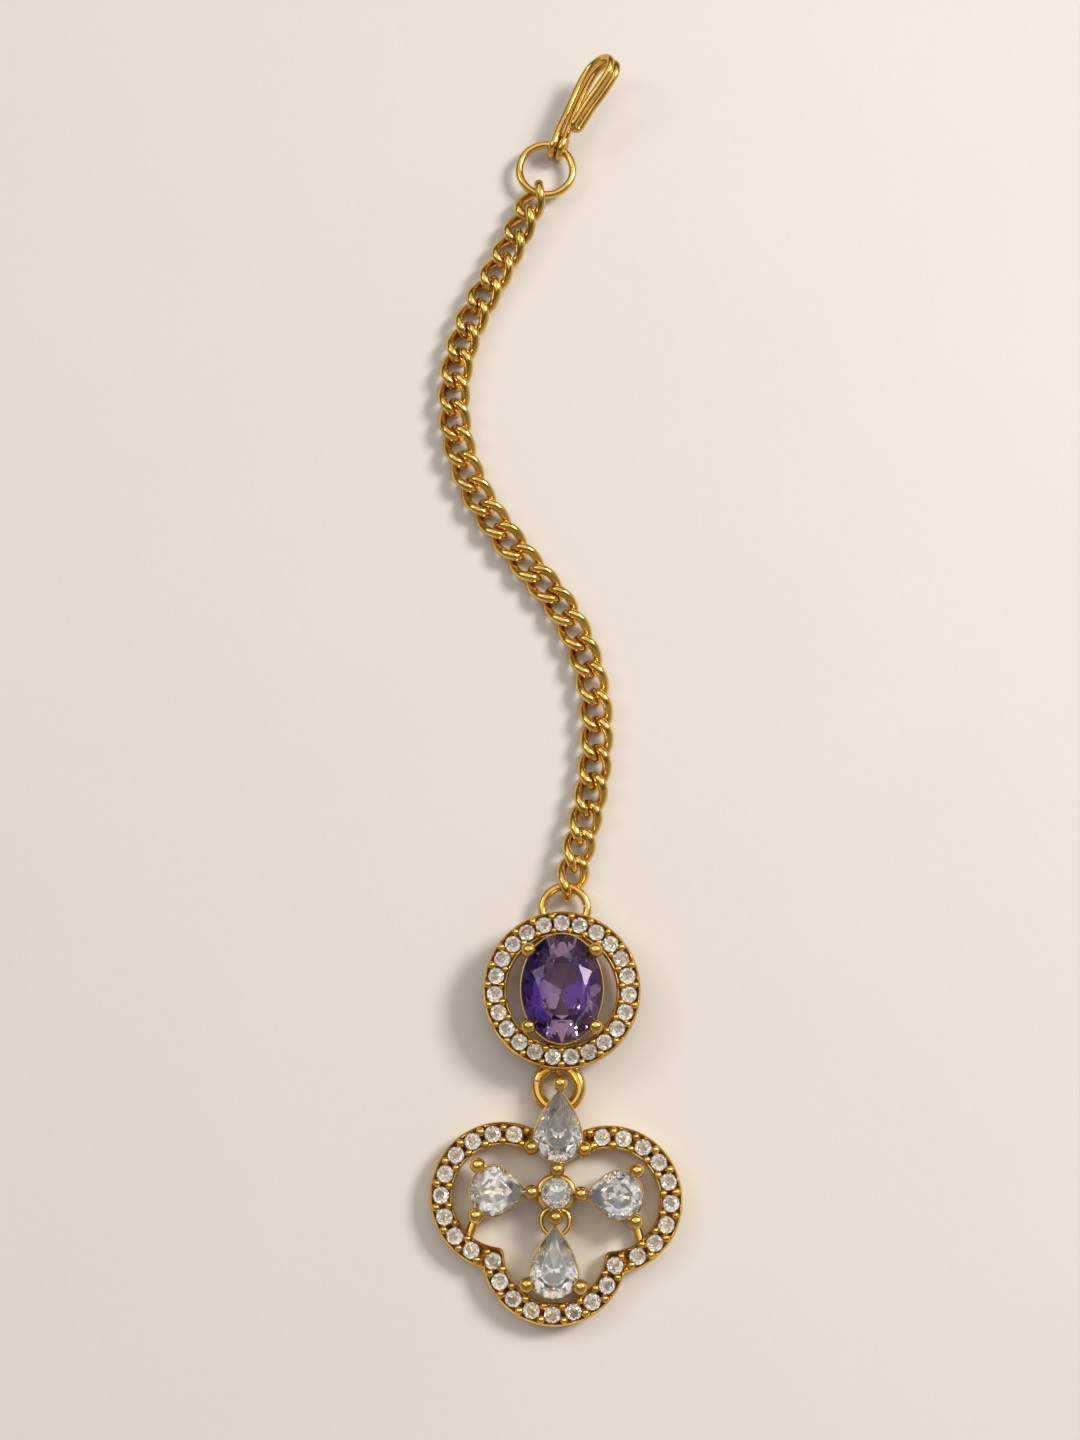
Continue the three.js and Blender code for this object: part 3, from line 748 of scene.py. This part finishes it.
def add_grains(shape, stations, top, reach, radius, seed):
    """A grain at the inner and outer end of each gap between two stones."""
    chance = random.Random(seed)
    for (x, y, outward) in stations:
        out = Vector((math.cos(outward), math.sin(outward), 0))
        side = Vector((-out.y, out.x, 0))
        for end in (-1, 1):
            size = radius * chance.uniform(0.88, 1.12)
            centre = Vector((x, y, top - size * 0.10 + chance.uniform(-0.03, 0.03)))
            centre += out * (end * (reach + chance.uniform(-0.03, 0.03)))
            centre += side * chance.uniform(-0.05, 0.05)
            shape.add(*ball(size, centre, 14, 9))


def ball_prong(shape, x, y, bottom, girdle, ball_size, foot=None):
    """Post with a round head. A foot point makes the post lean."""
    head = girdle + 0.35
    neck = ball_size * 0.80
    profile = [(0, bottom), (neck, bottom), (neck, head - ball_size * 0.75),
               (neck, head - ball_size * 0.62)]
    for step in range(1, 12):
        angle = math.radians(-38 + 128 * step / 12)
        profile.append((ball_size * math.cos(angle), head + ball_size * math.sin(angle)))
    profile.append((0, head + ball_size))
    points, faces = turned(profile, 22)
    foot_x, foot_y = foot or (x, y)
    placed = []
    for point in points:
        rise = min(max(point[2] / head, 0), 1)
        placed.append((point[0] + foot_x + (x - foot_x) * rise,
                       point[1] + foot_y + (y - foot_y) * rise, point[2]))
    shape.add(placed, faces)


def bezel(shape, outline, bottom, girdle, wall, matrix=None):
    """Thin upright wall round a stone, open underneath, with a ledge below the girdle."""
    sections = [(0.03, girdle + 0.06), (wall, girdle + 0.05), (wall + 0.03, girdle - 0.05),
                (wall + 0.03, bottom + 0.05), (wall, bottom), (-0.22, bottom),
                (-0.25, bottom + 0.1), (-0.16, girdle - 0.35), (0.02, girdle - 0.12)]
    loops = []
    for distance, height in sections:
        loops.append([(x, y, height) for x, y in grown(outline, distance)])
    points, faces = lofted(loops)
    shape.add(points, [tuple(reversed(face)) for face in faces], matrix)


def flat_loop(shape, half_x, half_y, wire, level, count=56, x=0, y=0):
    """Level loop of round wire."""
    line = [Vector((x + half_x * math.cos(2 * math.pi * i / count),
                    y + half_y * math.sin(2 * math.pi * i / count), level))
            for i in range(count)]
    shape.add(*tube(line, wire / 2, 12))


def eyelet(shape, x, y, level, ring_wire):
    """Small upright loop round a ring's wire."""
    wire = 0.35
    radius = ring_wire / 2 + EYE_GAP + wire / 2
    line = [Vector((x, y + radius * math.cos(2 * math.pi * i / 32),
                    level + radius * math.sin(2 * math.pi * i / 32))) for i in range(32)]
    shape.add(*tube(line, wire / 2, 12))


OVAL_WIDTH = 5.9
OVAL_LENGTH = 7.9
OVAL_GIRDLE = 4.0
OVAL_CROWN = 0.85
OVAL_DEPTH = 2.7
# Middle of each of the oval's four prongs, and the half sizes of the rail that they stand on.
OVAL_PRONG = (2.42, 2.75)
RAIL = (2.4, 2.85)


class JEWEL_OT_halo(Operator):
    """Make the halo: pave band, grains, basket, ball prongs and eyelets"""
    bl_idname = "jewel.halo"
    bl_label = "Halo"

    def execute(self, context):
        sizes = context.scene.setting_sizes
        wires = context.scene.wire_sizes
        bottom = box_top("halo_jump_ring") + 0.1
        top = bottom + BAND_HEIGHT
        middle = sizes.halo_radius - sizes.halo_band / 2
        shape = Shape()
        loops = []
        for offset, height in band_profile(sizes.halo_band / 2, bottom, top):
            radius = middle + offset
            loops.append([(radius * math.cos(2 * math.pi * i / 184),
                           radius * math.sin(2 * math.pi * i / 184), height)
                          for i in range(184)])
        points, faces = lofted(loops)
        shape.add(points, [tuple(reversed(face)) for face in faces])
        step = 2 * math.pi / sizes.halo_stones
        gaps = []
        for i in range(sizes.halo_stones):
            angle = math.pi / 2 + step * (i + 0.5)
            gaps.append((middle * math.cos(angle), middle * math.sin(angle), angle))
        add_grains(shape, gaps, top, sizes.halo_band / 2 - 0.36, sizes.halo_bead, 11)
        outline = ellipse_outline(OVAL_WIDTH / 2, OVAL_LENGTH / 2, 96)
        bezel(shape, outline, OVAL_GIRDLE - 1.2, OVAL_GIRDLE, sizes.bezel)
        flat_loop(shape, *RAIL, 0.6, 0.3, 80)
        share = 1 / math.hypot(OVAL_PRONG[0] / RAIL[0], OVAL_PRONG[1] / RAIL[1])
        for sign_x in (-1, 1):
            for sign_y in (-1, 1):
                x, y = sign_x * OVAL_PRONG[0], sign_y * OVAL_PRONG[1]
                foot = (x * share, y * share)
                ball_prong(shape, x, y, 0.02, OVAL_GIRDLE, sizes.ball, foot)
        for sign_y in (-1, 1):
            line = [Vector((0, sign_y * 3.3, OVAL_GIRDLE - 1.0)),
                    Vector((0, sign_y * 4.3, bottom + 0.9))]
            shape.add(*tube(line, 0.45, 12, closed=False))
        edge = sizes.halo_radius
        eyelet(shape, 0, edge - UPPER_EYE_INSET, jump_ring_middle().z, wires.jump_wire)
        eyelet(shape, LOWER_EYE_X, LOWER_EYE_INSET - edge, connector_middle().z,
               wires.connector_wire)
        place = Matrix.Translation((HALO.x, HALO.y, 0))
        points = [place @ point for point in shape.points]
        piece = add_mesh("halo_gold", points, shape.faces, finish("setting_gold"), 38)
        seat(piece, "pave_gold", "halo_setting")

        stones = Shape()
        chance = random.Random(5)
        for i in range(sizes.halo_stones):
            angle = math.pi / 2 + step * i
            spot = (middle * math.cos(angle), middle * math.sin(angle), top - PAVE_SINK)
            add_pave_stone(stones, HALO_PAVE, spot, place, chance)
        piece = add_stones("halo_pave_stones", stones.points, stones.faces,
                           finish("small_crystal"))
        seat(piece, "clear_stone")
        return {"FINISHED"}


# Clover drop, laid out from its round centre stone.

SIDE_LOBE = Vector((3.85, -0.3))
BOTTOM_LOBE = Vector((0, -4.05))
ROUND_WIDTH = 2.25
LONG_WIDTH, LONG_LENGTH = 3.45, 5.1
SHORT_WIDTH, SHORT_LENGTH = 3.55, 4.1
# Distance of the pears' tips from the round stone's middle.
TOP_TIP, BOTTOM_TIP, SIDE_TIP = 7.34, 2.28, 2.12
# Name, turn, x, y, width, length; the round stone has no length.
DROP_STONES = [
    ("round_stone", 0, 0, 0, ROUND_WIDTH, 0),
    ("pear_top", 0, 0, TOP_TIP - LONG_LENGTH / 2, LONG_WIDTH, LONG_LENGTH),
    ("pear_bottom", 0, 0, -BOTTOM_TIP - LONG_LENGTH / 2, LONG_WIDTH, LONG_LENGTH),
    ("pear_left", -90, -SIDE_TIP - SHORT_LENGTH / 2, 0, SHORT_WIDTH, SHORT_LENGTH),
    ("pear_right", 90, SIDE_TIP + SHORT_LENGTH / 2, 0, SHORT_WIDTH, SHORT_LENGTH),
]
# Heights of the stones' girdles and of the undersides of their settings.
DROP_GIRDLE = 2.5
DROP_SEAT = 1.35


def clover_place():
    """Place of the clover, with its small turn."""
    turn = Matrix.Rotation(math.radians(-2), 4, "Z")
    return Matrix.Translation((CLOVER.x, CLOVER.y, 0)) @ turn


def arc(centre, radius, start, end, count):
    """Points along an arc, angles in radians."""
    line = []
    for i in range(count + 1):
        angle = start + (end - start) * i / count
        line.append((centre.x + radius * math.cos(angle), centre.y + radius * math.sin(angle)))
    return line


def lobe_edge(radius, end_angle):
    """Line beside the band's middle, from the right free end round to the left one.

    Each notch between two lobes is trimmed and rounded, the inner side more than the outer.
    """
    apart = (SIDE_LOBE - BOTTOM_LOBE)
    reach = math.sqrt(radius ** 2 - (apart.length / 2) ** 2)
    outward = Vector((apart.y, -apart.x)).normalized()
    notch = (SIDE_LOBE + BOTTOM_LOBE) / 2 + outward * reach
    side_end = math.atan2(notch.y - SIDE_LOBE.y, notch.x - SIDE_LOBE.x)
    bottom_start = math.atan2(notch.y - BOTTOM_LOBE.y, notch.x)
    inside = max(bpy.context.scene.setting_sizes.lobe_radius - radius, 0)
    trim = (0.12 + inside * 0.55) / radius
    right = arc(SIDE_LOBE, radius, math.radians(end_angle), side_end + trim, 60)
    bottom = arc(BOTTOM_LOBE, radius, bottom_start - trim, -math.pi - bottom_start + trim, 60)
    start, end = Vector(right[-1]), Vector(bottom[0])
    for step in range(1, 7):
        t = step / 7
        point = start * (1 - t) ** 2 + notch * 2 * t * (1 - t) + end * t ** 2
        right.append((point.x, point.y))
    left = [(-x, y) for x, y in reversed(right)]
    return right + bottom + left


def lobe_stone_places():
    """Place and outward angle of each pave stone, in order along the band."""
    sizes = bpy.context.scene.setting_sizes
    right = []
    for i in range(sizes.lobe_stones):
        angle = math.radians(98.5 - 20 * i)
        right.append((SIDE_LOBE.x + sizes.lobe_radius * math.cos(angle),
                      SIDE_LOBE.y + sizes.lobe_radius * math.sin(angle), angle))
    bottom = []
    for i in range(sizes.lobe_stones):
        angle = math.radians(-11 - 19.75 * i)
        bottom.append((sizes.lobe_radius * math.cos(angle),
                       BOTTOM_LOBE.y + sizes.lobe_radius * math.sin(angle), angle))
    left = [(-x, y, math.pi - angle) for x, y, angle in reversed(right)]
    return right, bottom, left


def drop_outline(width, along, count=32):
    """Outline of one of the clover's stones: a pear, or a circle where it has no length."""
    if along:
        return pear_outline(width, along, count)
    return ellipse_outline(width / 2, width / 2, count)


class JEWEL_OT_clover(Operator):
    """Make the clover: pave band, grains, bezels, ball prongs, struts and eyelet"""
    bl_idname = "jewel.clover"
    bl_label = "Clover"

    def execute(self, context):
        sizes = context.scene.setting_sizes
        wires = context.scene.wire_sizes
        top = BAND_HEIGHT
        shape = Shape()
        loops = []
        for offset, height in band_profile(sizes.lobe_band / 2, 0, top):
            loops.append([(x, y, height) for x, y in lobe_edge(sizes.lobe_radius + offset, 113)])
        shape.add(*lofted(loops, closed_way=False))
        gaps = []
        for row in lobe_stone_places():
            for (x, y, angle), (next_x, next_y, next_angle) in zip(row, row[1:]):
                gaps.append(((x + next_x) / 2, (y + next_y) / 2, (angle + next_angle) / 2))
        for sign in (-1, 1):
            angle = math.radians(108.5)
            x = SIDE_LOBE.x + sizes.lobe_radius * math.cos(angle)
            y = SIDE_LOBE.y + sizes.lobe_radius * math.sin(angle)
            gaps.append((sign * x, y, angle if sign > 0 else math.pi - angle))
            right, bottom, _ = lobe_stone_places()
            x, y = (right[-1][0] + bottom[0][0]) / 2, (right[-1][1] + bottom[0][1]) / 2
            gaps.append((sign * x, y, math.radians(-38 if sign > 0 else 218)))
        add_grains(shape, gaps, top, sizes.lobe_band / 2 - 0.35, sizes.lobe_bead, 23)
        for _, turn, x, y, width, along in DROP_STONES:
            matrix = Matrix.Translation((x, y, 0)) @ Matrix.Rotation(math.radians(turn), 4, "Z")
            outline = drop_outline(width, along, 64)
            bezel(shape, outline, DROP_SEAT, DROP_GIRDLE, sizes.bezel, matrix)
        centre_up = (ROUND_WIDTH / 2 + TOP_TIP - LONG_LENGTH) / 2
        centre_side = (ROUND_WIDTH / 2 + SIDE_TIP) / 2 + 0.15
        centre_down = (ROUND_WIDTH / 2 + BOTTOM_TIP) / 2
        long_x, top_y = LONG_WIDTH * 0.555, TOP_TIP - LONG_LENGTH * 0.82
        bottom_y = -BOTTOM_TIP - LONG_LENGTH * 0.82
        side_x, side_y = SIDE_TIP + SHORT_LENGTH * 0.88, SHORT_WIDTH / 2
        # Across, along and foot height of each prong.
        prongs = [(0, TOP_TIP + 0.46, 1.5), (-long_x, top_y, 0.2), (long_x, top_y, 0.2),
                  (0, centre_up, 0), (-centre_side, 0, 0), (centre_side, 0, 0),
                  (0, -centre_down, 0), (-side_x, side_y, 1.2), (-side_x, -side_y, 0.2),
                  (side_x, side_y, 1.2), (side_x, -side_y, 0.2),
                  (-long_x, bottom_y, 0.2), (long_x, bottom_y, 0.2)]
        for x, y, bottom in prongs:
            ball_prong(shape, x, y, bottom, DROP_GIRDLE, sizes.ball)
        reach = sizes.lobe_radius - sizes.lobe_band / 2 + 0.25
        strut = Vector((reach * math.cos(math.radians(-52)), reach * math.sin(math.radians(-52))))
        for sign in (-1, 1):
            side_end = Vector((sign * (SIDE_LOBE.x + strut.x), SIDE_LOBE.y + strut.y, 0.85))
            line = [Vector((sign * side_x, -side_y, 0.85)), side_end]
            shape.add(*tube(line, 0.34, 14, closed=False))
            low_end = Vector((sign * strut.x, BOTTOM_LOBE.y + strut.y, 0.85))
            line = [Vector((sign * long_x, bottom_y, 0.85)), low_end]
            shape.add(*tube(line, 0.34, 14, closed=False))
        flat_loop(shape, 1.25, 1.25, 0.5, 0.3)
        flat_loop(shape, 1.03, 1.03, 0.36, 1.4, 48, 0, -centre_down - 0.25)
        eyelet(shape, 0, 6.07, connector_middle().z, wires.connector_wire)
        place = clover_place()
        points = [place @ point for point in shape.points]
        piece = add_mesh("clover_gold", points, shape.faces, finish("setting_gold"), 38)
        seat(piece, "pave_gold", "clover_setting")

        stones = Shape()
        chance = random.Random(8)
        for row in lobe_stone_places():
            for x, y, _ in row:
                add_pave_stone(stones, CLOVER_PAVE, (x, y, top - PAVE_SINK), place, chance)
        piece = add_stones("clover_pave_stones", stones.points, stones.faces,
                           finish("small_crystal"))
        seat(piece, "clear_stone")
        return {"FINISHED"}


class JEWEL_OT_stones(Operator):
    """Cut the violet oval, the four pears and the round centre stone"""
    bl_idname = "jewel.stones"
    bl_label = "Main stones"

    def execute(self, context):
        outline = ellipse_outline(OVAL_WIDTH / 2, OVAL_LENGTH / 2, 32)
        points, faces = cut_stone(outline, OVAL_GIRDLE, OVAL_CROWN, OVAL_DEPTH)
        place = Matrix.Translation((HALO.x, HALO.y, 0))
        points = [place @ Vector(point) for point in points]
        piece = add_stones("oval_stone_cut", points, faces, finish("violet_crystal"))
        seat(piece, "violet_stone", "oval_stone")
        for name, turn, x, y, width, along in DROP_STONES:
            matrix = clover_place() @ Matrix.Translation((x, y, 0))
            matrix = matrix @ Matrix.Rotation(math.radians(turn), 4, "Z")
            centre = (0, -along * 0.1)
            points, faces = cut_stone(drop_outline(width, along), DROP_GIRDLE, 0.6, 1.6, centre)
            points = [matrix @ Vector(point) for point in points]
            piece = add_stones(f"{name}_cut", points, faces, finish("clear_crystal"))
            seat(piece, "clear_stone", name)
        return {"FINISHED"}


# Stage

def area_light(name, place, aim, size, power, tint):
    """Soft lamp with its face turned toward a point."""
    data = bpy.data.lights.new(name, "AREA")
    data.shape = "RECTANGLE"
    data.size, data.size_y = size
    data.energy = power
    data.color = tint
    lamp = bpy.data.objects.new(name, data)
    lamp.location = place
    lamp.rotation_euler = (Vector(aim) - Vector(place)).to_track_quat("-Z", "Y").to_euler()
    bpy.context.scene.collection.objects.link(lamp)
    return lamp


class JEWEL_OT_stage(Operator):
    """Lay the pale floor and set the soft lights and the camera"""
    bl_idname = "jewel.stage"
    bl_label = "Stage"

    def execute(self, context):
        side = 0.9
        corners = [(-side, -side, 0), (side, -side, 0), (side, side, 0), (-side, side, 0)]
        floor = add_mesh("floor", [Vector(corner) / MM for corner in corners], [(0, 1, 2, 3)],
                         finish("pale_floor"), None)

        world = bpy.data.worlds.new("soft_room")
        world.use_nodes = True
        tree = world.node_tree
        place = add_node(tree, "TexCoord")
        rise = add_node(tree, "VectorMath")
        rise.operation = "DOT_PRODUCT"
        rise.inputs[1].default_value = (-0.10, 0.35, 0.93)
        ramp = colour_ramp(tree, [(0.36, (0.34, 0.31, 0.285)), (0.50, (0.09, 0.075, 0.062)),
                                  (0.70, (0.11, 0.095, 0.08)), (0.87, (1, 0.965, 0.92))])
        tree.links.new(place.outputs["Generated"], rise.inputs[0])
        tree.links.new(rise.outputs["Value"], ramp.inputs["Fac"])
        back = tree.nodes["Background"]
        tree.links.new(ramp.outputs["Color"], back.inputs["Color"])
        back.inputs["Strength"].default_value = 1.1
        context.scene.world = world
        context.scene.view_settings.view_transform = "Standard"

        area_light("key_light", (0.31, 0.14, 0.32), (0, 0, 0), (0.14, 0.14), 1.85,
                   (1, 0.95, 0.88))
        area_light("left_panel", (-0.30, 0.12, 0.30), (0, 0, 0), (0.12, 0.12), 0.22,
                   (1, 0.97, 0.94))

        data = bpy.data.cameras.new("photo_camera")
        data.lens = 60
        data.sensor_width = 36
        data.clip_start = 0.005
        camera = bpy.data.objects.new("photo_camera", data)
        tilt = math.radians(12)
        distance = 0.182
        aim = Vector((HALO.x - 1.586, HALO.y + 20.72, 0)) * MM
        camera.location = aim + Vector((0, -math.sin(tilt), math.cos(tilt))) * distance
        camera.rotation_euler = (tilt, 0, 0)
        context.scene.collection.objects.link(camera)
        context.scene.camera = camera
        return {"FINISHED"}


class JEWEL_PT_panel(Panel):
    """Sizes, colours and buttons of the jewel"""
    bl_idname = "JEWEL_PT_panel"
    bl_label = "Maang tikka"
    bl_space_type = "VIEW_3D"
    bl_region_type = "UI"
    bl_category = "Maang Tikka"

    def draw(self, context):
        layout = self.layout
        for group in (context.scene.wire_sizes, context.scene.setting_sizes,
                      context.scene.jewel_colours):
            column = layout.column(align=True)
            for name in group.__annotations__:
                column.prop(group, name)
        for operator in OPERATORS:
            layout.operator(operator.bl_idname)


OPERATORS = (JEWEL_OT_stage, JEWEL_OT_chain, JEWEL_OT_rings, JEWEL_OT_hook,
             JEWEL_OT_halo, JEWEL_OT_clover, JEWEL_OT_stones)
CLASSES = (WireSizes, SettingSizes, JewelColours, *OPERATORS, JEWEL_PT_panel)


def register():
    for item in CLASSES:
        bpy.utils.register_class(item)
    bpy.types.Scene.wire_sizes = PointerProperty(type=WireSizes)
    bpy.types.Scene.setting_sizes = PointerProperty(type=SettingSizes)
    bpy.types.Scene.jewel_colours = PointerProperty(type=JewelColours)


def unregister():
    del bpy.types.Scene.jewel_colours
    del bpy.types.Scene.setting_sizes
    del bpy.types.Scene.wire_sizes
    for item in reversed(CLASSES):
        bpy.utils.unregister_class(item)


def main():
    """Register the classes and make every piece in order."""
    register()
    bpy.ops.jewel.stage()
    bpy.ops.jewel.chain()
    bpy.ops.jewel.rings()
    bpy.ops.jewel.hook()
    bpy.ops.jewel.halo()
    bpy.ops.jewel.clover()
    bpy.ops.jewel.stones()


if __name__ == "__main__":
    main()
